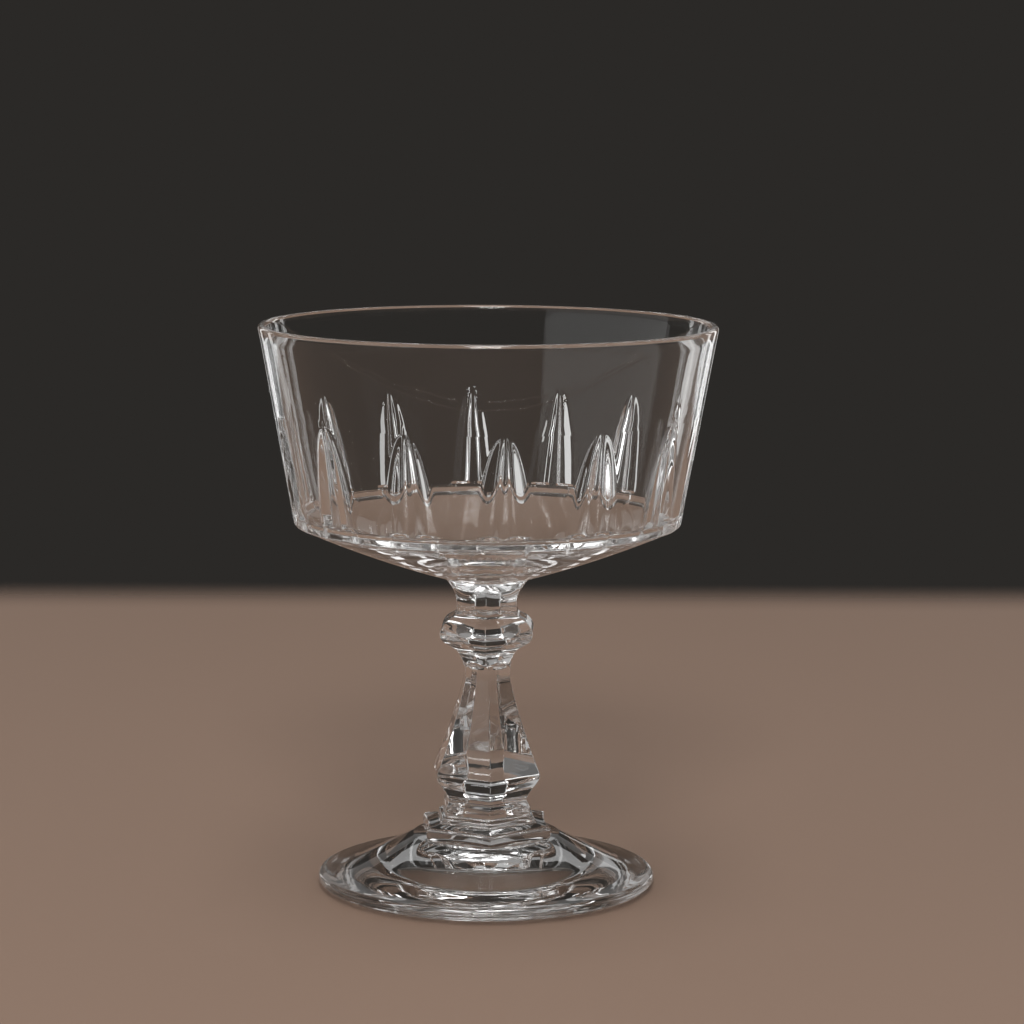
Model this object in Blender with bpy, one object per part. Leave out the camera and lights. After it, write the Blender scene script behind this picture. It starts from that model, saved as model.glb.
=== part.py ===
"""A clear pressed sherbet glass: a spiked bowl, a six-sided knop and stem, and a round foot.

Metres, +Z up, with the front towards -Y. The origin is on the table, under the middle of the foot.
The four pieces of glass are stacked on one axis, each seated on the one below it.
"""

import math

import bpy

MM = 0.001
DEGREE = math.pi / 180

# Whole glass: the wall's share is of the height that the stem's baluster and the bowl's wall divide
GLASS_HEIGHT = 118.4 * MM
WALL_SHARE = 0.66

# Joints: the pieces are fused on a real glass, and the seats of two pieces are this far apart here
WELD_GAP = 0.3 * MM
KNOP_SEAT_RADIUS = 5.5 * MM
BOWL_SEAT_RADIUS = 8.9 * MM

# Foot, from the table up: a flat flange, a cone up to the plinth and a hollow underneath
FOOT_RADIUS = 35.8 * MM
FOOT_HEIGHT = 10.6 * MM
FOOT_EDGE_THICKNESS = 2.5 * MM
FOOT_EDGE_LIFT = 0.6 * MM
FLANGE_WIDTH = 5.5 * MM
CONE_CURVE = 1.08
SEAT_SHELF = 0.3 * MM
REST_RING_INSET = 5.0 * MM
REST_RING_WIDTH = 10.8 * MM
HOLLOW_DEPTH = 4.3 * MM
HOLLOW_CURVE = 3.0
FOOT_STEPS = 72

# Stem, from the foot up; a radius of a six-sided section reaches its corners
STEM_TURN = 4.0 * DEGREE
PLINTH_RADIUS = 15.0 * MM
PLINTH_HEIGHT = 2.5 * MM
PLINTH_HOLLOW = 0.55 * MM
PLINTH_BEVEL = 0.35 * MM
PLINTH_TOP_SLOPE = 0.6 * MM
STEP_RADIUS = 11.3 * MM
STEP_HEIGHT = 1.0 * MM
STEP_TOP_SLOPE = 0.4 * MM
COLLAR_RADIUS = 10.15 * MM
COLLAR_HEIGHT = 2.0 * MM
WAIST_RADIUS = 9.4 * MM
WAIST_RISE = 1.1 * MM
SWELL_HEIGHT = 5.8 * MM
BALUSTER_RADIUS = 12.5 * MM
BALUSTER_CURVE = 1.25
BALUSTER_TOP_RADIUS = 5.45 * MM
STEM_TOP_HEIGHT = 2.6 * MM

# Knop, from the stem up
KNOP_TURN = -2.0 * DEGREE
KNOP_COLLAR_RADIUS = 6.9 * MM
KNOP_COLLAR_HEIGHT = 2.8 * MM
KNOP_UNDERSIDE_HEIGHT = 2.2 * MM
KNOP_UNDERSIDE_CURVE = 1.2
KNOP_RADIUS = 11.2 * MM
KNOP_BEVEL = 0.7 * MM
KNOP_BEVEL_HEIGHT = 1.1 * MM
KNOP_BAND_HEIGHT = 1.2 * MM
KNOP_TOP_RADIUS = 9.9 * MM
KNOP_TOP_HEIGHT = 1.9 * MM
NECK_RADIUS = 7.2 * MM
NECK_RISE = 1.3 * MM
NECK_HEIGHT = 2.9 * MM
FLARE_HEIGHT = 4.4 * MM
FLARE_CURVE = 1.8

# Bowl, from the knop up; a spike is a rib of the wall with a flute cut on each side of it, SPIKE_REACH
# is its share of the wall's height, and SPIKE_TIP is how much of its width is left at the tip
SPIKES = 14
SPIKE_TURN = 4.5 * DEGREE
SPIKE_REACH = 0.526
SPIKE_BASE = 13.0 * MM
SPIKE_BOW = 0.48
SPIKE_TIP = 0.15
RIB_BASE = 2.4 * MM
FLUTE_DEPTH = 0.6 * MM
FLUTE_CURVE = 2.5
UNDERSIDE_HEIGHT = 11.2 * MM
UNDERSIDE_BULGE = 0.6 * MM
BELT_RADIUS = 40.7 * MM
BELT_HEIGHT = 2.6 * MM
BELT_ROUND = 0.7 * MM
BRICK_GAP = 1.2 * MM
BRICK_GAP_DEPTH = 0.3 * MM
LEDGE_RISE = 0.4 * MM
RIM_RADIUS = 47.6 * MM
RIM_THICKNESS = 1.7 * MM
WALL_FOOT_THICKNESS = 2.8 * MM
FLOOR_THICKNESS = 4.6 * MM
FLOOR_EDGE_RISE = 0.2 * MM
FLOOR_CORNER = 2.6 * MM
FLOOR_CURVE = 1.6

SMOOTH_BELOW = 24 * DEGREE
FRONT = -90 * DEGREE
SIDES = 6
CORNER_ROUND = 0.25 * MM
# Where the points of one side lie, as shares of it from a corner; the close ones round the corner
SIDE_STATIONS = (0.0, 0.05, 0.26, 0.5, 0.74, 0.95)
# Where the rings of the spikes lie, as shares of their height
SPIKE_RISES = (0.0, 0.25, 0.5, 0.72, 0.9, 1.0)
# Where the points of a flute lie, as shares of its width
FLUTE_STATIONS = (0.2, 0.5, 0.8)


def clear_glass(name):
    material = bpy.data.materials.new(name)
    material.use_nodes = True
    shader = material.node_tree.nodes["Principled BSDF"]
    shader.inputs["Base Color"].default_value = (0.97, 0.98, 0.98, 1)
    shader.inputs["Metallic"].default_value = 0
    shader.inputs["Roughness"].default_value = 0.03
    shader.inputs["IOR"].default_value = 1.52
    shader.inputs["Transmission Weight"].default_value = 1
    return material


def place(name, mesh, base, turn, whole):
    """Puts a piece on the axis, standing at height base and turned away from the front."""
    piece = bpy.data.objects.new(name, mesh)
    bpy.context.collection.objects.link(piece)
    piece.parent = whole
    piece.location.z = base
    piece.rotation_euler.z = FRONT + turn
    mesh.materials.append(clear_glass(name + "_glass"))
    return piece


def loft(name, rings, middle=None):
    """A closed skin over rings of equal count, each counter-clockwise seen from above.

    The first ring is closed flat. The last is closed flat too, or by a fan to the point middle.
    """
    count = len(rings[0])
    points = [point for ring in rings for point in ring]
    faces = [tuple(reversed(range(count)))]
    for level in range(len(rings) - 1):
        start = level * count
        for i in range(count):
            j = (i + 1) % count
            faces.append((start + i, start + j, start + count + j, start + count + i))
    last = len(points) - count
    if middle is None:
        faces.append(tuple(range(last, last + count)))
    else:
        points.append(middle)
        faces += [(last + i, last + (i + 1) % count, len(points) - 1) for i in range(count)]
    mesh = bpy.data.meshes.new(name)
    mesh.from_pydata(points, [], faces)
    mesh.shade_smooth()
    mesh.set_sharp_from_angle(angle=SMOOTH_BELOW)
    return mesh


def polar(radius, angle, height):
    return (radius * math.cos(angle), radius * math.sin(angle), height)


def blend(start, end, share):
    return start + (end - start) * share


def shares(count):
    """Even shares from just after 0 up to 1."""
    return [(i + 1) / count for i in range(count)]


def six_sided(height, radius, roundness=0.0, hollow=0.0):
    """A ring of six sides: roundness 1 makes it a circle, and hollow draws each side's middle in."""
    ring = []
    for side in range(SIDES):
        for share in SIDE_STATIONS:
            angle = (side + share) * 2 * math.pi / SIDES
            from_middle = (share - 0.5) * 2 * math.pi / SIDES
            flat = radius * math.cos(math.pi / SIDES) / math.cos(from_middle)
            flat -= hollow * (1 - (2 * share - 1) ** 2)
            if share == 0:
                flat -= CORNER_ROUND
            ring.append(polar(blend(flat, radius, roundness), angle, height))
    return ring


def foot_profile():
    """Half of the foot's section, from its top middle out, down and back to the axis below."""
    seat = PLINTH_RADIUS + SEAT_SHELF
    flange_top = FOOT_EDGE_LIFT + FOOT_EDGE_THICKNESS
    flange = FOOT_RADIUS - FLANGE_WIDTH
    edge = FOOT_EDGE_THICKNESS / 2
    rest_ring = FOOT_RADIUS - REST_RING_INSET
    hollow = rest_ring - REST_RING_WIDTH
    profile = [(0, FOOT_HEIGHT), (seat, FOOT_HEIGHT)]
    for share in shares(5):
        rise = (FOOT_HEIGHT - flange_top) * (1 - share) ** CONE_CURVE
        profile.append((blend(seat, flange, share), flange_top + rise))
    for step in range(7):
        angle = (90 - step * 30) * DEGREE
        radius = FOOT_RADIUS - edge + edge * math.cos(angle)
        profile.append((radius, FOOT_EDGE_LIFT + edge + edge * math.sin(angle)))
    profile.append((rest_ring, 0))
    profile.append((hollow, 0))
    for share in shares(6):
        left = 1 - share
        profile.append((hollow * left, HOLLOW_DEPTH * (1 - left**HOLLOW_CURVE)))
    return profile


def make_foot(whole):
    profile = foot_profile()
    mesh = bpy.data.meshes.new("foot")
    mesh.from_pydata(
        [(radius, 0, height) for radius, height in profile],
        [(i, i + 1) for i in range(len(profile) - 1)],
        [],
    )
    foot = place("foot", mesh, 0, 0, whole)
    turned = foot.modifiers.new("turned", "SCREW")
    turned.steps = FOOT_STEPS
    turned.render_steps = FOOT_STEPS
    turned.use_merge_vertices = True
    turned.merge_threshold = 1e-6
    turned.use_smooth_shade = True


def stem_rings(baluster_height):
    """Plinth, step, collar, waist, swell and baluster, as rings from the bottom up."""
    rings = [six_sided(0, PLINTH_RADIUS - PLINTH_BEVEL, 0, PLINTH_HOLLOW)]
    rings.append(six_sided(PLINTH_BEVEL, PLINTH_RADIUS, 0, PLINTH_HOLLOW))
    height = PLINTH_HEIGHT
    rings.append(six_sided(height - PLINTH_BEVEL, PLINTH_RADIUS, 0, PLINTH_HOLLOW))
    rings.append(six_sided(height, PLINTH_RADIUS - PLINTH_BEVEL, 0, PLINTH_HOLLOW))
    height += PLINTH_TOP_SLOPE
    rings.append(six_sided(height, STEP_RADIUS))
    height += STEP_HEIGHT
    rings.append(six_sided(height, STEP_RADIUS))
    height += STEP_TOP_SLOPE
    rings.append(six_sided(height, COLLAR_RADIUS))
    height += COLLAR_HEIGHT
    rings.append(six_sided(height, COLLAR_RADIUS))
    height += WAIST_RISE
    rings.append(six_sided(height, WAIST_RADIUS))
    for share in shares(5):
        radius = blend(WAIST_RADIUS, BALUSTER_RADIUS, (1 - math.cos(share * math.pi)) / 2)
        rings.append(six_sided(height + SWELL_HEIGHT * share, radius))
    height += SWELL_HEIGHT
    for share in shares(8):
        radius = blend(BALUSTER_TOP_RADIUS, BALUSTER_RADIUS, (1 - share) ** BALUSTER_CURVE)
        rings.append(six_sided(height + baluster_height * share, radius))
    height += baluster_height + STEM_TOP_HEIGHT
    rings.append(six_sided(height, KNOP_SEAT_RADIUS))
    return rings, height


def knop_rings():
    """Collar, knop, neck and flare, as rings from the bottom up."""
    rings = [six_sided(0, KNOP_SEAT_RADIUS)]
    height = KNOP_COLLAR_HEIGHT
    rings.append(six_sided(height, KNOP_COLLAR_RADIUS))
    for share in shares(3):
        bulge = share ** KNOP_UNDERSIDE_CURVE
        radius = blend(KNOP_COLLAR_RADIUS, KNOP_RADIUS - KNOP_BEVEL, bulge)
        rings.append(six_sided(height + KNOP_UNDERSIDE_HEIGHT * share, radius))
    height += KNOP_UNDERSIDE_HEIGHT + KNOP_BEVEL_HEIGHT
    rings.append(six_sided(height, KNOP_RADIUS))
    height += KNOP_BAND_HEIGHT
    rings.append(six_sided(height, KNOP_RADIUS))
    height += KNOP_TOP_HEIGHT
    rings.append(six_sided(height, KNOP_TOP_RADIUS))
    height += NECK_RISE
    rings.append(six_sided(height, NECK_RADIUS))
    height += NECK_HEIGHT
    rings.append(six_sided(height, NECK_RADIUS))
    for share in shares(4):
        radius = blend(NECK_RADIUS, BOWL_SEAT_RADIUS, share ** FLARE_CURVE)
        rings.append(six_sided(height + FLARE_HEIGHT * share, radius, share))
    return rings, height + FLARE_HEIGHT


def both_sides(half):
    """The stations of one spike and its panel, from those between the middles of the two."""
    return half + [(1 - share, cut) for share, cut in reversed(half[1:-1])]


def spike_spacing():
    """From the middle of one spike to the next, along the belt."""
    return 2 * math.pi * BELT_RADIUS / SPIKES


def spike_stations(rise):
    """Where the points of one spike and its panel lie, as shares of their width on the wall.

    Each is (share, cut): cut is 1 in the middle of a flute, and 0 on the rib and the panel. rise goes
    from 0 at the foot of the spike to 1 at its tip, and above 1 the points spread evenly towards 2.
    """
    narrow = min(rise, 1)
    rib = RIB_BASE / 2 / spike_spacing() * blend(SPIKE_TIP, 1, 1 - narrow)
    bow = blend(SPIKE_TIP, 1, (1 - narrow) ** SPIKE_BOW)
    edge = rib + (SPIKE_BASE - RIB_BASE) / 2 / spike_spacing() * bow
    flute = [(blend(rib, edge, share), 4 * share * (1 - share)) for share in FLUTE_STATIONS]
    stations = both_sides([(0, 0), (rib, 0), *flute, (edge, 0), ((edge + 0.5) / 2, 0), (0.5, 0)])
    even = max(0, rise - 1)
    return [(blend(share, i / len(stations), even), cut) for i, (share, cut) in enumerate(stations)]


def brick_stations():
    """The same for the belt, where one brick lies under each spike and one under each panel.

    cut is 1 in the middle of the gap between two bricks.
    """
    gap = 0.25
    brick = gap + BRICK_GAP / 2 / spike_spacing()
    spike_brick = 2 * gap - brick
    half = [(0, 0), (spike_brick / 2, 0), (spike_brick, 0), (gap, 1), (brick, 0)]
    return both_sides(half + [(blend(brick, 0.5, share), 0) for share in shares(3)])


def bowl_ring(height, stations, radius, depth=0):
    """One ring of the bowl, which lies deeper than its radius where its stations are cut."""
    ring = []
    for spike in range(SPIKES):
        for share, cut in stations:
            ring.append(polar(radius - depth * cut, (spike + share) * 2 * math.pi / SPIKES, height))
    return ring


def round_ring(height, radius):
    return bowl_ring(height, spike_stations(2), radius)


def bowl_rings(wall_height):
    """The bowl's outside from its seat up to the lip, then its inside down to the floor."""
    belt = UNDERSIDE_HEIGHT
    wall = belt + BELT_HEIGHT
    lip = RIM_THICKNESS / 2
    lip_height = wall + wall_height - lip
    flare = (RIM_RADIUS - BELT_RADIUS) / (lip_height - wall)
    bricks = brick_stations()
    belt_foot_radius = BELT_RADIUS - flare * BELT_HEIGHT - BELT_ROUND
    rings = [round_ring(0, BOWL_SEAT_RADIUS)]
    for share in shares(4)[:-1]:
        drop = UNDERSIDE_BULGE * 4 * share * (1 - share)
        radius = blend(BOWL_SEAT_RADIUS, belt_foot_radius, share)
        rings.append(round_ring(UNDERSIDE_HEIGHT * share - drop, radius))
    rings.append(bowl_ring(belt, bricks, belt_foot_radius, BRICK_GAP_DEPTH))
    above_round = BELT_RADIUS - flare * (BELT_HEIGHT - BELT_ROUND)
    rings.append(bowl_ring(belt + BELT_ROUND, bricks, above_round, BRICK_GAP_DEPTH))
    rings.append(bowl_ring(wall, bricks, BELT_RADIUS, BRICK_GAP_DEPTH))
    spike_foot = wall + LEDGE_RISE
    spike_height = SPIKE_REACH * wall_height
    for rise in SPIKE_RISES:
        height = spike_foot + spike_height * rise
        outside = BELT_RADIUS + flare * (height - wall)
        rings.append(bowl_ring(height, spike_stations(rise), outside, FLUTE_DEPTH * (1 - rise**FLUTE_CURVE)))
    halfway = 0.5
    height = blend(spike_foot + spike_height, lip_height, halfway)
    rings.append(bowl_ring(height, spike_stations(1 + halfway), BELT_RADIUS + flare * (height - wall)))
    for step in range(5):
        angle = step * 45 * DEGREE
        radius = RIM_RADIUS - lip + lip * math.cos(angle)
        rings.append(round_ring(lip_height + lip * math.sin(angle), radius))
    floor_edge = belt + FLOOR_EDGE_RISE
    inside = BELT_RADIUS - WALL_FOOT_THICKNESS
    for step in range(4):
        angle = step * 30 * DEGREE
        radius = inside - FLOOR_CORNER * (1 - math.cos(angle))
        rings.append(round_ring(floor_edge + FLOOR_CORNER * (1 - math.sin(angle)), radius))
    for share in shares(4)[:-1]:
        left = 1 - share
        height = blend(FLOOR_THICKNESS, floor_edge, left**FLOOR_CURVE)
        rings.append(round_ring(height, (inside - FLOOR_CORNER) * left))
    return rings, (0, 0, FLOOR_THICKNESS)


def main():
    for existing in list(bpy.data.objects):
        bpy.data.objects.remove(existing)
    whole = bpy.data.objects.new("sherbet_glass", None)
    bpy.context.collection.objects.link(whole)
    knop, knop_height = knop_rings()
    _, stem_without_baluster = stem_rings(0)
    fixed = FOOT_HEIGHT + stem_without_baluster + knop_height + UNDERSIDE_HEIGHT + BELT_HEIGHT
    free = GLASS_HEIGHT - fixed - 3 * WELD_GAP
    stem, stem_height = stem_rings(free * (1 - WALL_SHARE))
    bowl, floor_middle = bowl_rings(free * WALL_SHARE)
    stem_base = FOOT_HEIGHT + WELD_GAP
    knop_base = stem_base + stem_height + WELD_GAP
    bowl_base = knop_base + knop_height + WELD_GAP
    make_foot(whole)
    place("stem", loft("stem", stem), stem_base, STEM_TURN, whole)
    place("knop", loft("knop", knop), knop_base, KNOP_TURN, whole)
    place("bowl", loft("bowl", bowl, floor_middle), bowl_base, SPIKE_TURN, whole)
    for name, base in (("stem", stem_base), ("knop", knop_base), ("bowl", bowl_base)):
        print(f"{name} stands {base / MM:.2f} mm above the table")


main()
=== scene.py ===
# %% [markdown]
# # A pressed sherbet glass
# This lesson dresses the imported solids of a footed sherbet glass. The glass is clear and colourless, so
# its looks come from its shape: spikes cut round the bowl, a belt of bricks under them, a six-sided knop
# and stem, and a round foot. Every piece is closed, because light has to enter and leave it, and every
# crease is a little soft, as it is after fire polishing. Lengths of the glass are millimetres until a
# point is made. Those of the camera, the table and the lamps are metres.

# %% Load the solids
import math

import bpy
from mathutils import Matrix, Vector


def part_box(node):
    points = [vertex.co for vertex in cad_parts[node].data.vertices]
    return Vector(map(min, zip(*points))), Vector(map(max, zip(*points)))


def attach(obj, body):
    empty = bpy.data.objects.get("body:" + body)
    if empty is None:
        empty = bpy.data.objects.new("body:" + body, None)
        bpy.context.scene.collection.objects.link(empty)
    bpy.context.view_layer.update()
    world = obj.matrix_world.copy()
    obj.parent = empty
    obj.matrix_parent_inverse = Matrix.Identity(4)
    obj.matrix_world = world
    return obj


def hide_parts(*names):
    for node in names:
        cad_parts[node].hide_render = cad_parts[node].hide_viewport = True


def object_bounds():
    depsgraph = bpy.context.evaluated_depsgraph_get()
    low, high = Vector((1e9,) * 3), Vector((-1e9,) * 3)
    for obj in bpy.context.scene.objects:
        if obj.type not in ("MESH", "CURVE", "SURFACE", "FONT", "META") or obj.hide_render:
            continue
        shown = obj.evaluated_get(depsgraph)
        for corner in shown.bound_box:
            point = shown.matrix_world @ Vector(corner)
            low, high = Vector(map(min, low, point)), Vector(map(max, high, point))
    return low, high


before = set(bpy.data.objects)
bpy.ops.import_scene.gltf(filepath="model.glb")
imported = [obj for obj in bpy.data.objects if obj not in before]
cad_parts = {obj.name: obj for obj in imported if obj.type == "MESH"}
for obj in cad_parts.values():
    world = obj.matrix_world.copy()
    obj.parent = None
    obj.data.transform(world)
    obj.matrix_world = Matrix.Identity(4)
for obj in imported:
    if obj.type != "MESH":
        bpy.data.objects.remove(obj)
cad_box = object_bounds()
MM = 0.001
DEGREE = math.pi / 180
FRONT = -90 * DEGREE
print("solids:", sorted(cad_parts), "box", [tuple(corner) for corner in cad_box])

# %% [markdown]
# The camera looks slightly down on the glass from a little above its rim, through a long lens. Its place
# was found by laying the outline of the solids over the photograph.

# %% Camera
SENSOR_WIDTH = 36
FOCAL_LENGTH = 116.96
CAMERA_PLACE = (0, -0.686, 0.1789)
PAN_DEGREES = -0.425
LOOK_DOWN_DEGREES = 8.28
ROLL_DEGREES = 0.3

camera_data = bpy.data.cameras.new("camera")
camera_data.sensor_width = SENSOR_WIDTH
camera_data.lens = FOCAL_LENGTH
camera = bpy.data.objects.new("camera", camera_data)
bpy.context.scene.collection.objects.link(camera)
pan = Matrix.Rotation(PAN_DEGREES * DEGREE, 4, "Z")
tilt = Matrix.Rotation((90 - LOOK_DOWN_DEGREES) * DEGREE, 4, "X")
roll = Matrix.Rotation(ROLL_DEGREES * DEGREE, 4, "Z")
camera.matrix_world = Matrix.Translation(CAMERA_PLACE) @ pan @ tilt @ roll
bpy.context.scene.camera = camera
print("camera at", tuple(round(value, 4) for value in camera.matrix_world.translation))

# %% [markdown]
# Node trees read better as sums than as lists of links. This small class wraps a socket: + - * / on it
# add Math nodes, and its method node() adds any other node. The same class serves the materials, the
# world and the geometry tree, because all of them have Math nodes.

# %% Sockets as numbers


class Flow:
    """A socket of a node tree, which can be reckoned with like a number."""

    def __init__(self, tree, socket=None):
        self.tree = tree
        self.socket = socket

    def node(self, kind, settings=None, inputs=None, output=0):
        made = self.tree.nodes.new(kind)
        for name, value in (settings or {}).items():
            setattr(made, name, value)
        for name, value in (inputs or {}).items():
            if isinstance(value, Flow):
                self.tree.links.new(value.socket, made.inputs[name])
            else:
                made.inputs[name].default_value = value
        return Flow(self.tree, made.outputs[output])

    def math(self, operation, first, second):
        return self.node("ShaderNodeMath", {"operation": operation}, {0: first, 1: second})

    def __add__(self, other):
        return self.math("ADD", self, other)

    def __radd__(self, other):
        return self.math("ADD", other, self)

    def __sub__(self, other):
        return self.math("SUBTRACT", self, other)

    def __rsub__(self, other):
        return self.math("SUBTRACT", other, self)

    def __mul__(self, other):
        return self.math("MULTIPLY", self, other)

    def __rmul__(self, other):
        return self.math("MULTIPLY", other, self)

    def __truediv__(self, other):
        return self.math("DIVIDE", self, other)


def new_material(name):
    """An empty node material, as its first flow and its output node."""
    material = bpy.data.materials.new(name)
    material.use_nodes = True
    material.node_tree.nodes.clear()
    output = material.node_tree.nodes.new("ShaderNodeOutputMaterial")
    return material, Flow(material.node_tree), output


# %% [markdown]
# Soda-lime glass is clear, with an index of 1.52. Pressed glass is never optically flat: the skin that
# cooled against the mould keeps a slow ripple, and the flame that polished it leaves a finer one. They
# could be modelled, but a bump bends the light as well and needs no faces. Handling leaves a breath of
# roughness in patches. All of it reads Object coordinates.

# %% Clear glass
GLASS_INDEX = 1.52
FINE_PER_SLOW = 4  # fine ripples to one slow one
FINE_HEIGHT = 0.12  # against 1 for the slow ones
SMEAR_SCALE = 70.0
SMEAR_STARTS = 0.5
SMEAR_FULL = 0.8
CLEAN_ROUGHNESS = 0.004
SMEAR_ROUGHNESS = 0.02
DEEP_TINT = (0.985, 0.992, 0.99, 1)
PALE_TINT = (0.995, 0.997, 0.996, 1)


def clear_glass(name, ripple_size, ripple_depth):
    material, flow, output = new_material(name)
    place = flow.node("ShaderNodeTexCoord", output="Object")

    def noise(scale, detail, roughness):
        inputs = {"Vector": place, "Scale": scale, "Detail": detail, "Roughness": roughness}
        return flow.node("ShaderNodeTexNoise", {"noise_dimensions": "3D"}, inputs)

    slow = noise(1 / (ripple_size * MM), detail=1.0, roughness=0.4)
    fine = noise(FINE_PER_SLOW / (ripple_size * MM), detail=2.0, roughness=0.5)
    smear = noise(SMEAR_SCALE, detail=3.0, roughness=0.6)
    bump = flow.node(
        "ShaderNodeBump",
        None,
        {"Strength": 1.0, "Distance": ripple_depth * MM, "Height": slow + fine * FINE_HEIGHT},
    )
    touched = flow.node(
        "ShaderNodeMapRange",
        None,
        {"Value": smear, "From Min": SMEAR_STARTS, "From Max": SMEAR_FULL},
    )
    tint = flow.node(
        "ShaderNodeMix",
        {"data_type": "RGBA"},
        {"Factor": slow, "A": DEEP_TINT, "B": PALE_TINT},
        2,
    )
    shader = flow.node(
        "ShaderNodeBsdfPrincipled",
        None,
        {
            "Base Color": tint,
            "Roughness": CLEAN_ROUGHNESS + touched * SMEAR_ROUGHNESS,
            "IOR": GLASS_INDEX,
            "Transmission Weight": 1.0,
            "Normal": bump,
        },
    )
    flow.tree.links.new(shader.socket, output.inputs["Surface"])
    return material


bowl_glass = clear_glass("bowl_glass", ripple_size=9.0, ripple_depth=0.012)
stem_glass = clear_glass("stem_glass", ripple_size=5.0, ripple_depth=0.03)
foot_glass = clear_glass("foot_glass", ripple_size=8.0, ripple_depth=0.008)
print("glass:", bowl_glass.name, stem_glass.name, foot_glass.name)

# %% [markdown]
# Where two pieces are fused there is no surface left inside the glass, but each piece still has a closed
# skin here, so that it can be used alone. The faces of the joint get a finish that lets light straight
# through. Two glass faces in contact would mirror the light there, and a joint would look like a gap.

# %% Fused joint
ALL_LIGHT = (1, 1, 1, 1)

weld, flow, output = new_material("fused_joint")
through = flow.node("ShaderNodeBsdfTransparent", None, {"Color": ALL_LIGHT})
flow.tree.links.new(through.socket, output.inputs["Surface"])
print("joint:", weld.name)

# %% [markdown]
# Each piece is the same wedge again and again round the axis: fourteen spikes, six sides, and a plain
# round foot. An Array modifier could repeat it. A Geometry Nodes tree does more in one place: it takes one
# wedge, sets copies of it round the axis, joins their seams and gives out the two finishes. The faces of a
# joint carry the attribute "weld".

# %% Tree that repeats a wedge


def repeating_tree():
    tree = bpy.data.node_groups.new("repeat_round", "GeometryNodeTree")
    sockets = {}
    for name, kind in (
        ("Geometry", "NodeSocketGeometry"),
        ("Count", "NodeSocketInt"),
        ("Turn", "NodeSocketFloat"),
        ("Seam", "NodeSocketFloat"),
        ("Glass", "NodeSocketMaterial"),
        ("Joint", "NodeSocketMaterial"),
    ):
        sockets[name] = tree.interface.new_socket(name, in_out="INPUT", socket_type=kind).identifier
    tree.interface.new_socket("Geometry", in_out="OUTPUT", socket_type="NodeSocketGeometry")
    entry = tree.nodes.new("NodeGroupInput")
    given = {name: Flow(tree, entry.outputs[name]) for name in sockets}
    flow = Flow(tree)
    points = flow.node("GeometryNodePoints", None, {"Count": given["Count"]})
    index = flow.node("GeometryNodeInputIndex")
    angle = given["Turn"] + index * (2 * math.pi) / given["Count"]
    rotation = flow.node("ShaderNodeCombineXYZ", None, {"Z": angle})
    copies = flow.node(
        "GeometryNodeInstanceOnPoints",
        None,
        {"Points": points, "Instance": given["Geometry"], "Rotation": rotation},
    )
    real = flow.node("GeometryNodeRealizeInstances", None, {"Geometry": copies})
    joined = flow.node("GeometryNodeMergeByDistance", None, {"Geometry": real, "Distance": given["Seam"]})
    glassy = flow.node("GeometryNodeSetMaterial", None, {"Geometry": joined, "Material": given["Glass"]})
    is_weld = flow.node("GeometryNodeInputNamedAttribute", {"data_type": "BOOLEAN"}, {"Name": "weld"})
    done = flow.node(
        "GeometryNodeSetMaterial",
        None,
        {"Geometry": glassy, "Selection": is_weld, "Material": given["Joint"]},
    )
    leave = tree.nodes.new("NodeGroupOutput")
    tree.links.new(done.socket, leave.inputs["Geometry"])
    return tree, sockets


round_tree, round_sockets = repeating_tree()
print("tree:", round_tree.name, "with inputs", ", ".join(round_sockets))

# %% [markdown]
# A wedge is a stack of rows of points, from the bottom of the piece to its last ring. Its first and last
# rows are closed to the axis by fans, which are joint faces or glass. It could be cut from a solid with
# booleans, but rows give even faces, and smooth shading needs those: a crooked face shows in clear glass.

# %% Mesh of a wedge


def wedge_mesh(name, rows, first_is_weld, last_is_weld, last_height):
    """rows holds (radius, angle, height) points, counter-clockwise; the last fan ends at last_height."""
    count = len(rows[0])
    points = [
        (radius * math.cos(angle) * MM, radius * math.sin(angle) * MM, height * MM)
        for row in rows
        for radius, angle, height in row
    ]
    faces = []
    for level in range(len(rows) - 1):
        start = level * count
        for i in range(start, start + count - 1):
            faces.append((i, i + 1, i + count + 1, i + count))
    sides = len(faces)
    points.append((0, 0, rows[0][0][2] * MM))
    points.append((0, 0, last_height * MM))
    last = len(rows) * count - count
    faces += [(i + 1, i, len(points) - 2) for i in range(count - 1)]
    faces += [(last + i, last + i + 1, len(points) - 1) for i in range(count - 1)]
    mesh = bpy.data.meshes.new(name)
    mesh.from_pydata(points, [], faces, False)
    is_weld = [False] * sides + [first_is_weld] * (count - 1) + [last_is_weld] * (count - 1)
    mesh.attributes.new("weld", "BOOLEAN", "FACE").data.foreach_set("value", is_weld)
    mesh.polygons.foreach_set("use_smooth", [not joint for joint in is_weld])
    print(f"{name}: {len(rows)} rows of {count} points")
    return mesh


# %% [markdown]
# The finished piece is a plain mesh at the origin that rides on the glass's one body and stands for its
# solid. The tree could stay on it as a modifier, but a plain mesh is what other programs can read.

# %% From a wedge to a piece
SEAM = 1e-6


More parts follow.
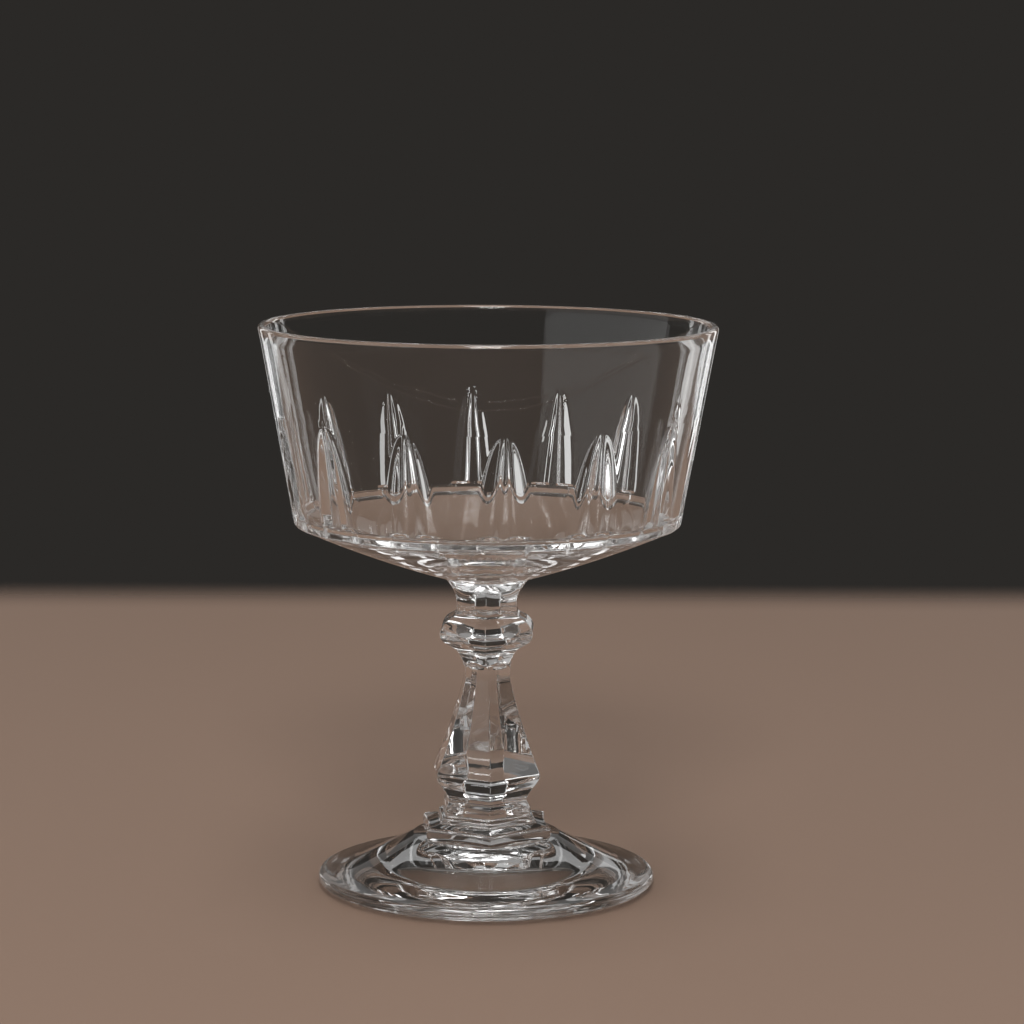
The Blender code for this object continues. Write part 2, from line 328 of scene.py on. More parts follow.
def repeat_round(name, mesh, count, turn, glass):
    """Sets copies of a wedge round the axis and makes one plain mesh of them, standing for the solid."""
    mesh.materials.append(glass)
    piece = bpy.data.objects.new("dressed_" + name, mesh)
    bpy.context.scene.collection.objects.link(piece)
    tree = piece.modifiers.new("repeat_round", "NODES")
    tree.node_group = round_tree
    settings = {"Count": count, "Turn": FRONT + turn, "Seam": SEAM, "Glass": glass, "Joint": weld}
    for label, value in settings.items():
        tree[round_sockets[label]] = value
    bpy.context.view_layer.update()
    graph = bpy.context.evaluated_depsgraph_get()
    plain = bpy.data.meshes.new_from_object(piece.evaluated_get(graph), depsgraph=graph)
    piece.modifiers.clear()
    piece.data = plain
    plain.name = "dressed_" + name
    bpy.data.meshes.remove(mesh)
    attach(piece, "root")
    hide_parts(name)
    triangles = sum(len(face.vertices) - 2 for face in plain.polygons)
    finishes = ", ".join(material.name for material in plain.materials)
    print(f"{piece.name}: {count} wedges, {triangles} triangles, finishes {finishes}")


# %% [markdown]
# The outline of a piece is drawn as half a section: a line of points from its bottom to its top. A point
# is (radius, height, roundness, hollow). Roundness 1 makes a six-sided section round, and hollow draws the
# middles of its sides in. These helpers go along such a line.

# %% Lines and shares


def mix(start, end, share):
    return start + (end - start) * share


def shares(count):
    """Even shares from just after 0 up to 1."""
    return [(i + 1) / count for i in range(count)]


def along(start, end, share):
    return tuple(mix(a, b, share) for a, b in zip(start, end))


def gap(first, second):
    return math.hypot(second[0] - first[0], second[1] - first[1])


def filled(line, longest):
    """The line with points added so that no step along it is longer than this."""
    dense = [line[0]]
    for start, end in zip(line, line[1:]):
        parts = max(1, math.ceil(gap(start, end) / longest))
        dense += [along(start, end, share) for share in shares(parts)]
    return dense


# %% [markdown]
# Section lines have straight runs and hard corners at first, as a mould maker would draw them. Then they
# are eased: each point becomes the mean of the line round it, which turns a corner into a small curve and
# leaves a curve as it is. A Bevel modifier could round the corners too, but it would break up the even
# rows.

# %% Easing the corners of a section
MOST_TURN = 3.0 * DEGREE  # between two kept points
STEPS_IN_REACH = 6
HAIR = 1e-6  # so that equal lengths count as equal


def thinned(line, longest):
    """The line without the points that neither turn it nor are needed to keep its steps short."""
    kept = [line[0]]
    turned = 0.0
    heading = math.atan2(line[1][1] - line[0][1], line[1][0] - line[0][0])
    for point, after in zip(line[1:], line[2:]):
        ahead = math.atan2(after[1] - point[1], after[0] - point[0])
        turned += abs(math.remainder(ahead - heading, 2 * math.pi))
        heading = ahead
        if turned > MOST_TURN or gap(kept[-1], after) > longest:
            kept.append(point)
            turned = 0.0
    return kept + [line[-1]]


def eased(line, reach, longest):
    """The line with its corners drawn as curves that start and end about this far from them."""
    dense = filled(line, reach / STEPS_IN_REACH)
    passed = [0.0]
    for start, end in zip(dense, dense[1:]):
        passed.append(passed[-1] + gap(start, end))
    soft = []
    first = last = 0
    for point, here in zip(dense, passed):
        window = min(reach, here, passed[-1] - here) + HAIR
        while passed[first] < here - window:
            first += 1
        while last < len(dense) and passed[last] <= here + window:
            last += 1
        near = dense[first:last]
        soft.append(tuple(sum(values) / len(near) for values in zip(*near)))
    return thinned(soft, longest)


# %% [markdown]
# The solids keep a small gap at each joint, so that each is a piece of its own. The dressed pieces meet in
# the middle of that gap, and the glass looks whole.

# %% Heights of the joints


def joint_height(lower, upper):
    """The middle of the gap between two solids, in millimetres."""
    return (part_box(lower)[1].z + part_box(upper)[0].z) / 2 / MM


foot_joint = joint_height("foot", "stem")
knop_joint = joint_height("stem", "knop")
bowl_joint = joint_height("knop", "bowl")
print(f"joints at {foot_joint:.2f}, {knop_joint:.2f} and {bowl_joint:.2f} mm")

# %% [markdown]
# The foot, the stem and the knop share one kind of wedge, a sixth of the round. It is centred on a corner,
# which is a small arc, so that it catches a thin line of light. Its points crowd at the corner and thin
# out along the sides. A six-sided cylinder would be simpler, but here a row can also be round, or between
# the two.

# %% Six-sided rows
SIDES = 6
HALF_SIDE = math.pi / SIDES
CORNER_RADIUS = 0.35
SMALLEST_SECTION = 4.0  # rows inside it keep its columns
ARC_COLUMNS = 4
FLAT_COLUMNS = 14
CROWDING = 1.25


def corner_angles(radius):
    """Angles from a corner to the middle of a side; the first ones lie on the corner's arc."""
    centre = radius - CORNER_RADIUS / math.cos(HALF_SIDE)
    reach_out = centre + CORNER_RADIUS * math.cos(HALF_SIDE)
    arc = math.atan2(CORNER_RADIUS * math.sin(HALF_SIDE), reach_out)
    on_arc = [arc * share for share in [0] + shares(ARC_COLUMNS)]
    return on_arc + [mix(arc, HALF_SIDE, share**CROWDING) for share in shares(FLAT_COLUMNS)]


def side_radius(radius, angle, roundness, hollow):
    """How far out the section lies at this angle from a corner."""
    if roundness == 1:
        return radius
    away = abs(angle)
    centre = radius - CORNER_RADIUS / math.cos(HALF_SIDE)
    flat = radius * math.cos(HALF_SIDE) / math.cos(HALF_SIDE - away)
    across = centre * math.sin(away)
    arc_end = corner_angles(radius)[ARC_COLUMNS]
    if away < arc_end:
        flat = centre * math.cos(away) + math.sqrt(CORNER_RADIUS**2 - across**2)
    flat -= hollow * (1 - (away / HALF_SIDE - 1) ** 2)
    return mix(flat, radius, roundness)


def six_sided_rows(section):
    rows = []
    for radius, height, roundness, hollow in section:
        half = corner_angles(max(radius, SMALLEST_SECTION))
        angles = [-angle for angle in reversed(half[1:])] + half
        outs = [side_radius(radius, angle, roundness, hollow) for angle in angles]
        rows.append([(out, angle, height) for out, angle in zip(outs, angles)])
    return rows


print("columns in a six-sided wedge:", 2 * (ARC_COLUMNS + FLAT_COLUMNS))

# %% [markdown]
# The foot is a flat round flange with a straight cone on it. Underneath it is hollow, so that it stands on
# a flat ring. The hollow matters for the looks: through the front of the cone the table shows where the
# hollow is steep, and higher up, where it levels off, its ceiling mirrors the plinth. A Screw modifier
# could turn it, but its last row is the six-sided outline of the plinth, where the stem is fused on.

# %% Foot
STEM_TURN = 4.0 * DEGREE
PLINTH_RADIUS = 15.0
PLINTH_BEVEL = 0.35
PLINTH_HOLLOW = 0.55
FOOT_RADIUS = 35.8
FOOT_EDGE = 1.25  # radius of the round edge
FOOT_LIFT = 0.6  # of the edge above the table
FLANGE_RADIUS = 30.3  # where the cone starts
CONE_TOP_RADIUS = 15.3
CONE_CURVE = 1.08
REST_RADIUS = 30.8  # the flat ring ends here
HOLLOW_START = 0.2
HOLLOW_RADIUS = 20.0
HOLLOW_DEPTH = 4.3
HOLLOW_CURVE = 3.0
HOLLOW_STEPS = 60
EDGE_STEPS = 36
CONE_STEPS = 40
FOOT_EASE = 2.0  # reach of the easing
FOOT_STEP = 1.2  # longest step between rows
plinth_outline = (PLINTH_RADIUS - PLINTH_BEVEL, foot_joint, 0, PLINTH_HOLLOW)


def foot_section():
    """From the middle of the underside out, round the edge and up the cone to the joint."""
    line = []
    for share in [0] + shares(HOLLOW_STEPS):
        radius = mix(HOLLOW_START, HOLLOW_RADIUS, share)
        line.append((radius, HOLLOW_DEPTH * (1 - (radius / HOLLOW_RADIUS) ** HOLLOW_CURVE), 1, 0))
    line.append((REST_RADIUS, 0.0, 1, 0))
    for step in range(EDGE_STEPS + 1):
        angle = (180 * step / EDGE_STEPS - 90) * DEGREE
        height = FOOT_LIFT + FOOT_EDGE * (1 + math.sin(angle))
        line.append((FOOT_RADIUS - FOOT_EDGE * (1 - math.cos(angle)), height, 1, 0))
    flange_top = FOOT_LIFT + 2 * FOOT_EDGE
    for share in [0] + shares(CONE_STEPS):
        rise = (foot_joint - flange_top) * share**CONE_CURVE
        line.append((mix(FLANGE_RADIUS, CONE_TOP_RADIUS, share), flange_top + rise, 1, 0))
    return eased(line, FOOT_EASE, FOOT_STEP) + [plinth_outline]


foot_mesh = wedge_mesh("foot_wedge", six_sided_rows(foot_section()), False, True, foot_joint)
repeat_round("foot", foot_mesh, SIDES, STEM_TURN, foot_glass)

# %% [markdown]
# The stem starts with a six-sided plinth whose sides are slightly hollow. Over it come a step and a
# collar, and then the baluster, which swells and draws in to its top. Each of them is a few points of one
# section line, so each can be set to the photograph alone. The joint with the knop is a fine round groove,
# because the two pieces are turned a few degrees from each other.

# %% Stem
JOINT_RADIUS = 5.1
GROOVE = 0.35
PLINTH_HEIGHT = 2.5
STEP_RADIUS = 11.3
STEP_FOOT = 3.1
STEP_TOP = 4.1
COLLAR_RADIUS = 10.15
COLLAR_FOOT = 4.5
COLLAR_TOP = 6.5
WAIST_RADIUS = 9.4
WAIST_HEIGHT = 7.6
BALUSTER_RADIUS = 12.5
SWELL_HEIGHT = 5.8
SWELL_STEPS = 30
BALUSTER_CURVE = 1.25
BALUSTER_STEPS = 40
BALUSTER_TOP_RADIUS = 5.45
STEM_TOP_RADIUS = 5.5
STEM_TOP_HEIGHT = 2.4
STEM_EASE = 0.5
STEM_STEP = 0.8


def stem_section():
    """From the joint with the foot up to the joint with the knop."""
    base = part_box("stem")[0].z / MM
    line = [
        plinth_outline,
        (PLINTH_RADIUS, base + PLINTH_BEVEL, 0, PLINTH_HOLLOW),
        (PLINTH_RADIUS, base + PLINTH_HEIGHT - PLINTH_BEVEL, 0, PLINTH_HOLLOW),
        (PLINTH_RADIUS - PLINTH_BEVEL, base + PLINTH_HEIGHT, 0, PLINTH_HOLLOW),
        (STEP_RADIUS, base + STEP_FOOT, 0, 0),
        (STEP_RADIUS, base + STEP_TOP, 0, 0),
        (COLLAR_RADIUS, base + COLLAR_FOOT, 0, 0),
        (COLLAR_RADIUS, base + COLLAR_TOP, 0, 0),
        (WAIST_RADIUS, base + WAIST_HEIGHT, 0, 0),
    ]
    for share in shares(SWELL_STEPS):
        swell = (1 - math.cos(share * math.pi)) / 2
        height = base + WAIST_HEIGHT + SWELL_HEIGHT * share
        line.append((mix(WAIST_RADIUS, BALUSTER_RADIUS, swell), height, 0, 0))
    widest = base + WAIST_HEIGHT + SWELL_HEIGHT
    top = knop_joint - GROOVE
    for share in shares(BALUSTER_STEPS):
        radius = mix(BALUSTER_TOP_RADIUS, BALUSTER_RADIUS, (1 - share) ** BALUSTER_CURVE)
        line.append((radius, mix(widest, top - STEM_TOP_HEIGHT, share), 0, 0))
    line.append((STEM_TOP_RADIUS, top, 0, 0))
    line += [(JOINT_RADIUS, top, 1, 0), (JOINT_RADIUS, knop_joint, 1, 0)]
    return eased(line, STEM_EASE, STEM_STEP)


stem_mesh = wedge_mesh("stem_wedge", six_sided_rows(stem_section()), True, True, knop_joint)
repeat_round("stem", stem_mesh, SIDES, STEM_TURN, stem_glass)

# %% [markdown]
# The knop is a six-sided ring between a small collar and a neck. The neck widens into a round seat that
# carries the bowl. A separate round seat could carry it too, with a hard edge under it. Here the rows grow
# rounder on the way up, so the six corners fade out as they do on the real neck.

# %% Knop
KNOP_TURN = -2.0 * DEGREE
KNOP_COLLAR_RADIUS = 6.9
KNOP_COLLAR_HEIGHT = 2.8
KNOP_UNDERSIDE_RADIUS = 10.5
KNOP_UNDERSIDE_RISE = 2.2
KNOP_UNDERSIDE_CURVE = 1.2
KNOP_UNDERSIDE_STEPS = 20
KNOP_RADIUS = 11.2
BAND_FOOT = 6.1
BAND_TOP = 7.3
KNOP_TOP_RADIUS = 9.9
KNOP_TOP = 9.2
NECK_RADIUS = 7.2
NECK_FOOT = 10.5
NECK_TOP = 13.4
BOWL_SEAT = 8.9
SEAT_CURVE = 1.8
SEAT_STEPS = 24
KNOP_EASE = 0.9
KNOP_STEP = 0.6


def knop_section():
    """From the joint with the stem up to the seat of the bowl."""
    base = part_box("knop")[0].z / MM
    start = knop_joint + GROOVE
    line = [
        (JOINT_RADIUS, knop_joint, 1, 0),
        (JOINT_RADIUS, start, 1, 0),
        (STEM_TOP_RADIUS, start, 0, 0),
        (KNOP_COLLAR_RADIUS, base + KNOP_COLLAR_HEIGHT, 0, 0),
    ]
    for share in shares(KNOP_UNDERSIDE_STEPS):
        radius = mix(KNOP_COLLAR_RADIUS, KNOP_UNDERSIDE_RADIUS, share**KNOP_UNDERSIDE_CURVE)
        line.append((radius, base + KNOP_COLLAR_HEIGHT + KNOP_UNDERSIDE_RISE * share, 0, 0))
    line += [
        (KNOP_RADIUS, base + BAND_FOOT, 0, 0),
        (KNOP_RADIUS, base + BAND_TOP, 0, 0),
        (KNOP_TOP_RADIUS, base + KNOP_TOP, 0, 0),
        (NECK_RADIUS, base + NECK_FOOT, 0, 0),
        (NECK_RADIUS, base + NECK_TOP, 0, 0),
    ]
    for share in shares(SEAT_STEPS):
        height = mix(base + NECK_TOP, bowl_joint, share)
        line.append((mix(NECK_RADIUS, BOWL_SEAT, share**SEAT_CURVE), height, share, 0))
    return eased(line, KNOP_EASE, KNOP_STEP)


knop_mesh = wedge_mesh("knop_wedge", six_sided_rows(knop_section()), True, True, bowl_joint)
repeat_round("knop", knop_mesh, SIDES, KNOP_TURN, stem_glass)

# %% [markdown]
# The bowl is the piece that takes most skill. Its outside is a straight cone from the belt to the lip, and
# fourteen spikes are cut into that cone. A spike has a narrow rib along its middle, which is the cone
# itself, and a hollow flute on each side of the rib. Its outline bows like an arch and comes to a point,
# where the flutes run out. Under each spike and each panel between two spikes lies one brick of the belt.
# One wedge of the bowl is one spike with half a panel on each side.

# %% Lengths of the bowl
SPIKES = 14
SPIKE_TURN = 4.5 * DEGREE
SPIKE_REACH = 0.526  # share of the wall's height
LEDGE_RISE = 0.4  # from the belt to the foot of a spike
UNDERSIDE_HEIGHT = 11.2
BELT_RADIUS = 40.7
BELT_HEIGHT = 2.6
RIM_RADIUS = 47.59
LIP = 0.85  # radius of the round lip
PERIOD = 2 * math.pi * BELT_RADIUS / SPIKES
HALF_BRICK = PERIOD / 4

bowl_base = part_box("bowl")[0].z / MM
rim_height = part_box("bowl")[1].z / MM
belt_foot = bowl_base + UNDERSIDE_HEIGHT
wall_foot = belt_foot + BELT_HEIGHT
lip_height = rim_height - LIP
spike_foot = wall_foot + LEDGE_RISE
spike_height = SPIKE_REACH * (rim_height - wall_foot)
flare = (RIM_RADIUS - BELT_RADIUS) / (lip_height - wall_foot)
print(f"wall from {wall_foot:.2f} to {rim_height:.2f} mm, spikes {spike_height:.1f} mm high")

# %% [markdown]
# Booleans could cut the spikes and the bricks, as a mould maker's tools do, but they leave slivers. Here
# rules say how deep the glass lies at each place. Each rule is a smooth formula, so the creases come out
# soft. A flute is deepest near its rib and rises slowly to the panel, and a brick is slightly pillowed.

# %% Rules of the bowl's wall
SPIKE_BASE = 13.0
SPIKE_BOW = 0.48  # under 1 bows the outline out
TIP_SHARE = 0.15  # share of the width left at the tip
RIB_BASE = 2.4
FLUTE_DEPTH = 0.85
FLUTE_CURVE = 4.0  # above 1 keeps a flute deep until near the tip
FLUTE_SOFT = 3.0  # how slowly a flute rises to the panel
LEDGE = 0.6  # height in which the flutes set in
BRICK_GAP = 1.2
BRICK_GAP_DEPTH = 0.3
GAP_FLOOR = BRICK_GAP / 6  # half its flat bottom
GAP_SIDE = BRICK_GAP / 3  # width of its slope
BRICK_SWELL = 0.25
BRICK_CURVE = 4
RAMP_SOFT = 0.06


def clamped(value):
    return min(max(value, 0), 1)


def ramp(value):
    """0 below 0 and 1 above 1, straight between, with soft ends."""
    low = (value + math.sqrt(value * value + RAMP_SOFT * RAMP_SOFT)) / 2
    over = value - 1
    high = (over + math.sqrt(over * over + RAMP_SOFT * RAMP_SOFT)) / 2
    return low - high


def spike_rise(height):
    """0 at the foot of a spike and 1 at its tip."""
    return clamped((height - spike_foot) / spike_height)


def spike_halves(height):
    """Half the width of a spike's rib and of its outline at this height, in millimetres on the belt."""
    left = 1 - spike_rise(height)
    rib = RIB_BASE / 2 * mix(TIP_SHARE, 1, left)
    return rib, rib + (SPIKE_BASE - RIB_BASE) / 2 * mix(TIP_SHARE, 1, left**SPIKE_BOW)


def flute_depth(across, height):
    """How deep the wall lies under its cone, above the belt."""
    rib, edge = spike_halves(height)
    share = ramp((abs(across) - rib) / (edge - rib))
    depth = FLUTE_DEPTH * (1 - spike_rise(height) ** FLUTE_CURVE)
    deepest = 1 / (1 + FLUTE_SOFT)
    section = share / deepest * ((1 - share) / (1 - deepest)) ** FLUTE_SOFT
    return depth * section * ramp((height - wall_foot) / LEDGE)


def brick_depth(across, height):
    """How deep the belt lies in the gaps between its bricks."""
    from_gap = abs(abs(across) - HALF_BRICK)
    gap_depth = BRICK_GAP_DEPTH * (1 - ramp((from_gap - GAP_FLOOR) / GAP_SIDE))
    from_middle = 1 - from_gap / HALF_BRICK
    from_belt_middle = 2 * (height - belt_foot) / BELT_HEIGHT - 1
    return gap_depth + BRICK_SWELL * (from_middle**BRICK_CURVE + from_belt_middle**BRICK_CURVE) / 2


rib_half, spike_half = spike_halves(spike_foot)
print(f"a spike is {2 * spike_half:.1f} mm wide at its foot, and its rib {2 * rib_half:.1f} mm")

# %% [markdown]
# The columns of points have to follow the creases, or the creases would look like stairs. On the belt they
# stand along the gaps of the bricks. Just above it they move over to the ribs and the edges of the spikes,
# and above the tips they spread evenly. On a panel the steps widen little by little, because a sudden
# change of step would bend the smooth shading there, and with it everything seen through the glass.

# %% Columns across the bowl's wedge
COLUMN_COUNTS = (2, 3, 9, 2, 2, 7)
PANEL_CROWDING = 1.6
CREASE_SHARE = 0.1  # of a flute's width
BRICK_EDGE = BRICK_GAP * 0.6  # from the middle of a gap
ON_BRICK = (1.45, 2.05)  # columns that cross a brick
MOVE_OVER = 0.8  # height in which the columns move to the spikes


def half_columns(height):
    """Places across half a wedge, from the spike's middle to the panel's, in millimetres on the belt."""
    rib, edge = spike_halves(height)
    crease = CREASE_SHARE * (edge - rib)
    spike_keys = (0, rib - crease, rib + crease, edge - crease, edge, edge + crease, PERIOD / 2)
    gap_keys = (HALF_BRICK - BRICK_EDGE, HALF_BRICK, HALF_BRICK + BRICK_EDGE)
    brick_keys = (0, *ON_BRICK, *gap_keys, PERIOD / 2)
    moved = clamped((height - wall_foot) / MOVE_OVER)
    keys = [mix(low, high, moved) for low, high in zip(brick_keys, spike_keys)]
    columns = [0]
    for start, end, count in zip(keys, keys[1:], COLUMN_COUNTS):
        crowding = PANEL_CROWDING if end == keys[-1] else 1
        columns += [mix(start, end, share**crowding) for share in shares(count)]
    plain_wall = lip_height - spike_foot - spike_height
    spread = clamped((height - spike_foot - spike_height) / plain_wall)
    even = [PERIOD / 2 * i / (len(columns) - 1) for i in range(len(columns))]
    return [mix(place, level, spread) for place, level in zip(columns, even)]


def bowl_row(radius, height, columns, relief=None):
    """One row of the bowl's wedge, drawn in by the relief where there is one."""
    angle = 2 * math.pi / SPIKES / PERIOD
    places = [-place for place in reversed(columns[1:])] + columns
    if relief is None:
        return [(radius, place * angle, height) for place in places]
    return [(radius - relief(place, height), place * angle, height) for place in places]


print("columns in a wedge of the bowl:", 2 * sum(COLUMN_COUNTS))

# %% [markdown]
# The outside goes from the seat along the slightly bulging underside, round the foot of the belt, up over
# the bricks and up the wall. Its rows lie close where the spikes start and where they come to a point,
# because their outline changes fastest there.

# %% Outside of the bowl
UNDERSIDE_ROWS = 18
UNDERSIDE_BULGE = 0.6
BELT_ROUND = 0.7
ROUND_STEP = 15  # degrees
BELT_DROPS = (1.2, 0.6, 0.3, 0.1)
LEDGE_STEP = 0.1
LEDGE_ROWS = 9
SPIKE_ROWS = 40
TIP_CROWDING = 1.6
PLAIN_ROWS = 8


def outside_rows():
    belt_columns = half_columns(belt_foot)
    under = BELT_RADIUS - flare * (wall_foot - belt_foot) - BELT_ROUND
    rows = []
    for share in [0] + shares(UNDERSIDE_ROWS)[:-1]:
        drop = UNDERSIDE_BULGE * 4 * share * (1 - share)
        height = mix(bowl_joint, belt_foot, share) - drop
        rows.append(bowl_row(mix(BOWL_SEAT, under, share), height, belt_columns))
    for degrees in range(0, 90 + ROUND_STEP, ROUND_STEP):
        angle = degrees * DEGREE
        height = belt_foot + BELT_ROUND * (1 - math.cos(angle))
        out = (BELT_ROUND + flare * (height - belt_foot)) * math.sin(angle)
        rows.append(bowl_row(under + out, height, belt_columns, brick_depth))
    for drop in BELT_DROPS:
        rows.append(bowl_row(BELT_RADIUS - flare * drop, wall_foot - drop, belt_columns, brick_depth))
    heights = [wall_foot + LEDGE_STEP * step for step in range(LEDGE_ROWS)]
    spike_tip = spike_foot + spike_height
    for share in shares(SPIKE_ROWS):
        heights.append(mix(wall_foot + MOVE_OVER, spike_tip, 1 - (1 - share) ** TIP_CROWDING))
    heights += [mix(spike_tip, lip_height, share) for share in shares(PLAIN_ROWS)]
    for height in heights:
        cone = BELT_RADIUS + flare * (height - wall_foot)
        rows.append(bowl_row(cone, height, half_columns(height), flute_depth))
    return rows


outside = outside_rows()
print("rows on the outside of the bowl:", len(outside))

# %% [markdown]
# The inside is smooth. It goes over the round lip, down a straight wall and along a floor that is lowest
# in the middle. A Solidify modifier could make an inside, but it would copy the spikes, and on the real
# bowl a smooth plunger shapes it.

# %% Inside of the bowl
FLOOR_EDGE = 38.5
FLOOR_EDGE_DROP = 1.0  # under the top of the belt
FLOOR_THICKNESS = 4.6
FLOOR_CURVE = 1.6
FLOOR_STEPS = 60
FLOOR_REACH = 0.99  # share of the way to the axis
INSIDE_EASE = 0.9
INSIDE_STEP = 3.0
floor_edge_height = wall_foot - FLOOR_EDGE_DROP
floor_middle = bowl_base + FLOOR_THICKNESS


def inside_rows():
    lip_columns = half_columns(lip_height)
    rows = []
    for degrees in range(ROUND_STEP, 180 + ROUND_STEP, ROUND_STEP):
        angle = degrees * DEGREE
        height = lip_height + LIP * math.sin(angle)
        rows.append(bowl_row(RIM_RADIUS - LIP + LIP * math.cos(angle), height, lip_columns))
    line = [(RIM_RADIUS - 2 * LIP, lip_height)]
    for share in [0] + shares(FLOOR_STEPS):
        radius = FLOOR_EDGE * (1 - FLOOR_REACH * share)
        height = mix(floor_middle, floor_edge_height, (radius / FLOOR_EDGE) ** FLOOR_CURVE)
        line.append((radius, height))
    for radius, height in eased(line, INSIDE_EASE, INSIDE_STEP)[1:]:
        rows.append(bowl_row(radius, height, lip_columns))
    return rows


bowl_mesh = wedge_mesh("bowl_wedge", outside + inside_rows(), True, False, floor_middle)
repeat_round("bowl", bowl_mesh, SPIKES, SPIKE_TURN, bowl_glass)

# %% [markdown]
# The glass stands on a plain table. The far edge of the table is soft, as it is through a long lens. The
# camera's depth of field could soften it, but parts of the glass would turn soft with it, so the table
# fades out instead.

# %% Table
TABLE_HALF_WIDTH = 0.8
TABLE_FRONT = -0.9
TABLE_BACK = 0.4
TABLE_TOP = -0.0001
FADE_STARTS = 0.33
FADE_ENDS = 0.385
TABLE_COLOUR = (0.31, 0.2, 0.142, 1)
TABLE_ROUGHNESS = 0.7

table_corners = [
    (-TABLE_HALF_WIDTH, TABLE_FRONT, TABLE_TOP),
    (TABLE_HALF_WIDTH, TABLE_FRONT, TABLE_TOP),
    (TABLE_HALF_WIDTH, TABLE_BACK, TABLE_TOP),
    (-TABLE_HALF_WIDTH, TABLE_BACK, TABLE_TOP),
]
table_mesh = bpy.data.meshes.new("table_top")
table_mesh.from_pydata(table_corners, [], [(0, 1, 2, 3)])
table = bpy.data.objects.new("table_top", table_mesh)
bpy.context.scene.collection.objects.link(table)
table_finish, flow, output = new_material("pale_table")
place = flow.node("ShaderNodeTexCoord", output="Object")
depth = flow.node("ShaderNodeSeparateXYZ", None, {"Vector": place}, "Y")
fade = flow.node(
    "ShaderNodeMapRange",
    {"interpolation_type": "SMOOTHSTEP"},
    {"Value": depth, "From Min": FADE_STARTS, "From Max": FADE_ENDS},
)
wood = flow.node(
    "ShaderNodeBsdfPrincipled",
    None,
    {"Base Color": TABLE_COLOUR, "Roughness": TABLE_ROUGHNESS},
)
empty = flow.node("ShaderNodeBsdfTransparent", None, {"Color": ALL_LIGHT})
table_shader = flow.node("ShaderNodeMixShader", None, {0: fade, 1: wood, 2: empty})
flow.tree.links.new(table_shader.socket, output.inputs["Surface"])
table_mesh.materials.append(table_finish)
print(f"table: {2 * TABLE_HALF_WIDTH} by {TABLE_BACK - TABLE_FRONT:.1f} m")

# %% [markdown]
# The dark backdrop is the world itself, so it is there from every side: camera, mirrored and refracted
# rays see a dark grey, and all others get a soft fill light. A ray that the table has scattered gets the
# fill light even through the glass, so the table isn't dark under the foot.

# %% Backdrop
FILL_COLOUR = (0.95, 0.97, 1.0, 1)
FILL_STRENGTH = 0.35
BACKDROP_COLOUR = (0.024, 0.0222, 0.0203, 1)

world = bpy.data.worlds.new("backdrop")
world.use_nodes = True
world.node_tree.nodes.clear()
bpy.context.scene.world = world
flow = Flow(world.node_tree)
seen = flow.node("ShaderNodeLightPath", output="Is Camera Ray")
mirrored = flow.node("ShaderNodeLightPath", output="Is Glossy Ray")
refracted = flow.node("ShaderNodeLightPath", output="Is Transmission Ray")
scattered = flow.math("MINIMUM", flow.node("ShaderNodeLightPath", output="Diffuse Depth"), 1.0)
looked_at = flow.math("MINIMUM", seen + mirrored + refracted, 1.0) * (1 - scattered)
fill = flow.node("ShaderNodeBackground", None, {"Color": FILL_COLOUR, "Strength": FILL_STRENGTH})
dark = flow.node("ShaderNodeBackground", None, {"Color": BACKDROP_COLOUR, "Strength": 1.0})
sky = flow.node("ShaderNodeMixShader", None, {0: looked_at, 1: fill, 2: dark})
world_output = world.node_tree.nodes.new("ShaderNodeOutputWorld")
world.node_tree.links.new(sky.socket, world_output.inputs["Surface"])
print("world:", world.name)

# %% [markdown]
# Clear glass shows its shape by what it mirrors and bends into view, so a few narrow lamps in the dark
# show it better than one big one. The tall strips stand behind the glass on both sides, out of the frame:
# they draw the bright edges of the spikes and of the stem. Two low, dim ones nearer the middle fill the
# flutes, and a dim glow on the left lightens a side of the stem. The high panel lights the cone of the
# foot, the strip overhead the lip, the window gives the small sparkles, and the wide lamp above lights the
# table.

# %% Lamps


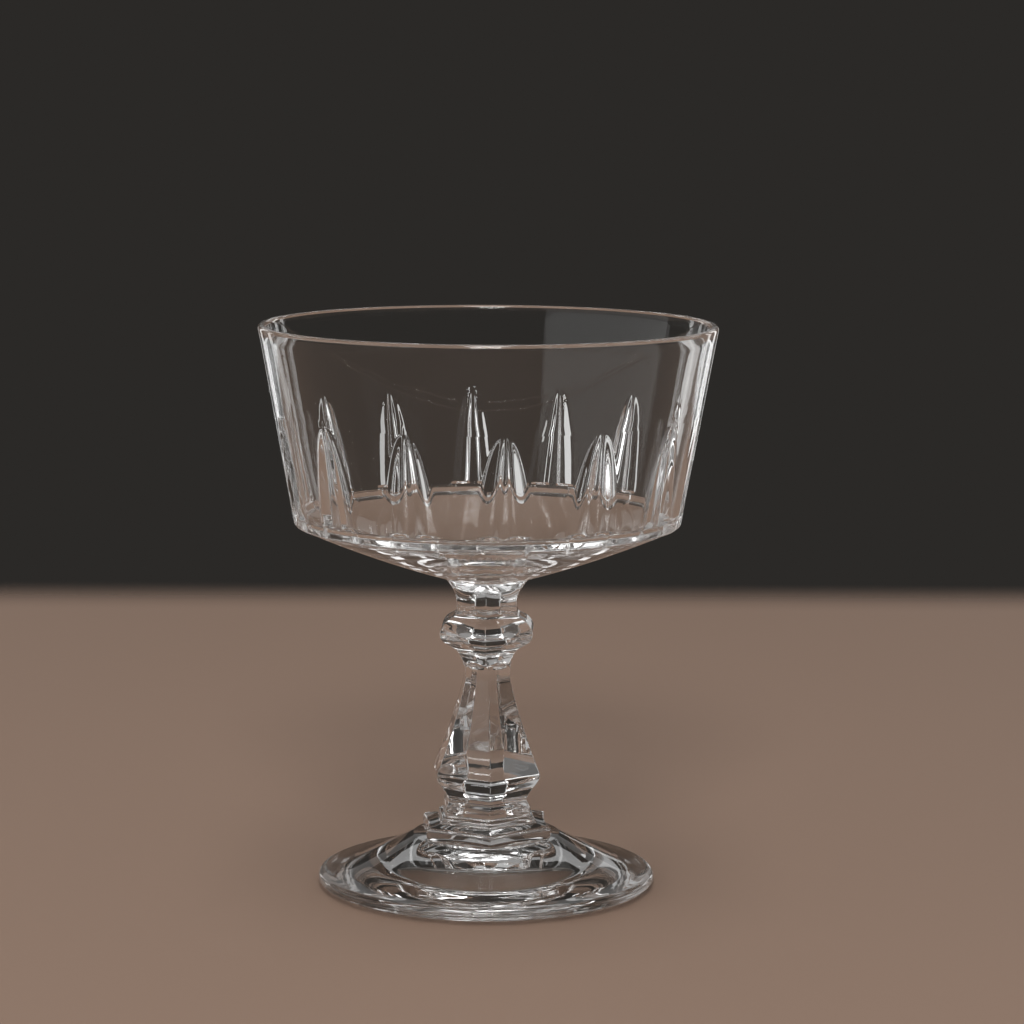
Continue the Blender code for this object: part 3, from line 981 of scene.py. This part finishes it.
def soft_box(name, place, size, power):
    """A rectangular lamp that faces the glass."""
    lamp = bpy.data.lights.new(name, "AREA")
    lamp.shape = "RECTANGLE"
    lamp.size, lamp.size_y = size
    lamp.energy = power
    box = bpy.data.objects.new(name, lamp)
    bpy.context.scene.collection.objects.link(box)
    middle = (cad_box[0] + cad_box[1]) / 2
    box.location = place
    box.rotation_euler = (middle - box.location).to_track_quat("-Z", "Y").to_euler()
    box.visible_camera = False
    print(f"{name}: {power} W, {size[0]} by {size[1]} m")


soft_box("ceiling", place=(0, -0.1, 1.5), size=(2.0, 2.0), power=3)
soft_box("overhead_strip", place=(0, -0.2, 1.2), size=(0.25, 0.8), power=3)
soft_box("window", place=(-0.03, -1.0, 0.85), size=(0.3, 0.3), power=5)
soft_box("high_back_panel", place=(0, 1.1, 0.42), size=(1.6, 0.22), power=0.3)
soft_box("right_strip", place=(0.5, 1.04, 0.1), size=(0.1, 0.7), power=0.4)
soft_box("far_right_strip", place=(0.82, 1.04, 0.1), size=(0.1, 0.7), power=0.4)
soft_box("left_strip", place=(-0.5, 1.04, 0.1), size=(0.1, 0.7), power=0.3)
soft_box("far_left_strip", place=(-0.9, 1.0, 0.1), size=(0.1, 0.7), power=0.4)
soft_box("low_right_strip", place=(0.25, 1.04, -0.02), size=(0.07, 0.28), power=0.042)
soft_box("low_left_strip", place=(-0.3, 1.04, -0.02), size=(0.07, 0.28), power=0.03)
soft_box("left_glow", place=(-0.74, 1.04, 0.1), size=(0.14, 0.7), power=0.04)
soft_box("left_wall", place=(-1.0, -0.3, 0.4), size=(1.8, 0.8), power=2.0)

# %% [markdown]
# Light that enters the lip runs down inside the wall, thrown from side to side like in a light guide,
# before it gets out. The renderer has to follow it much further than usual, or the lip turns black.
# Colours go out as they are.

# %% Light paths and colours
GLASS_FACES = 64
CLEAR_FACES = 24

scene = bpy.context.scene
scene.cycles.max_bounces = GLASS_FACES
scene.cycles.transmission_bounces = GLASS_FACES
scene.cycles.glossy_bounces = GLASS_FACES
scene.cycles.transparent_max_bounces = CLEAR_FACES
scene.view_settings.view_transform = "Standard"
print("light is followed through", scene.cycles.max_bounces, "faces")
